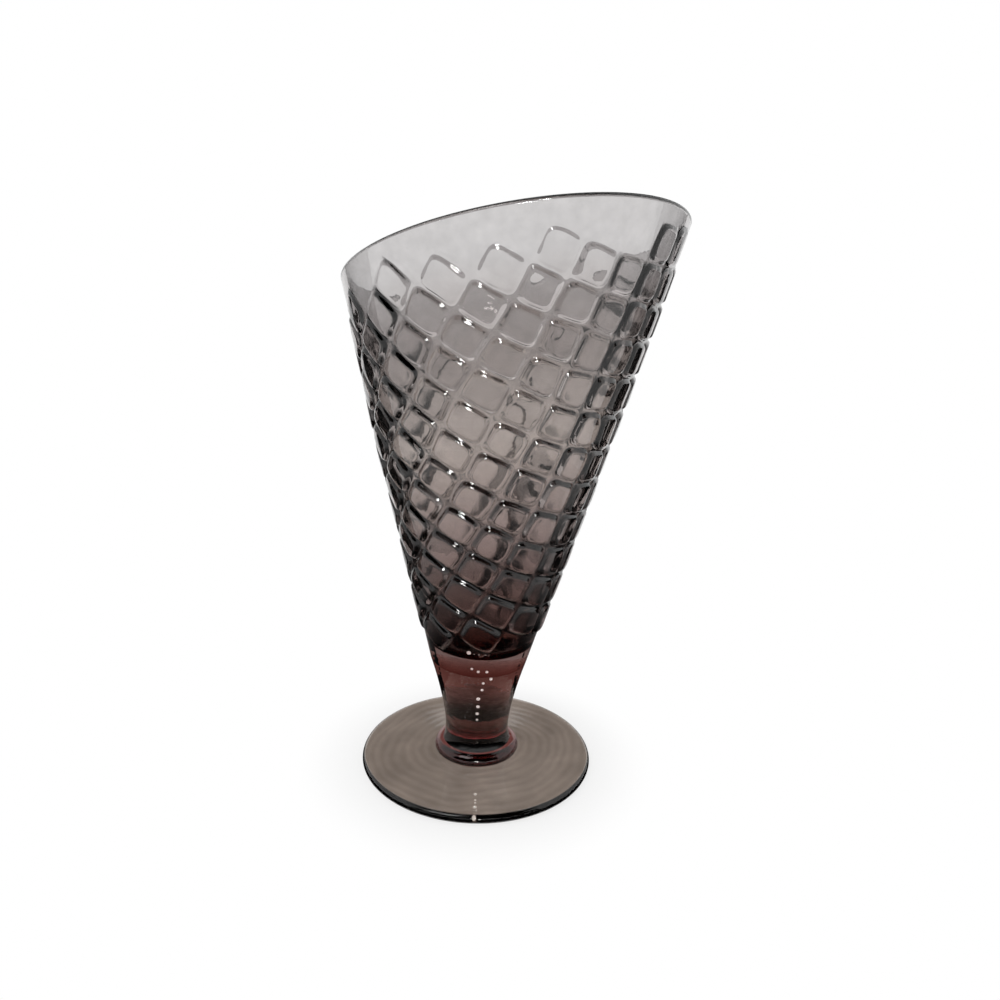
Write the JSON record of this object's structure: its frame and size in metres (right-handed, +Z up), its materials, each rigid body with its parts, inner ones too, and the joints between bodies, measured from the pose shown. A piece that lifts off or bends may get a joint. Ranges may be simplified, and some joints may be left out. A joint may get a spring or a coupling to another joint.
{
  "type": "ice cream dish",
  "caption": "Tall glass ice cream dish: conical bowl with raised waffle squares between grooves and a slanted rim, on a solid stem, collar and round foot.",
  "frame": {"origin": "centre of the ring under the foot that the dish stands on", "axes": "+Z up along the stem, -Y towards the side that faces the viewer, where the rim is high"},
  "size_m": [0.0964, 0.096, 0.184],
  "materials": {
    "bowl_glass": "clear grey-mauve glass, fire-polished",
    "stem_glass": "clear amethyst glass, solid",
    "collar_glass": "clear amethyst glass, solid",
    "foot_glass": "clear grey-mauve glass with faint tool marks"
  },
  "bodies": {
    "root": {"waffle_bowl": "bowl_glass", "stem": "stem_glass", "collar": "collar_glass", "foot": "foot_glass"}
  },
  "joints": []
}
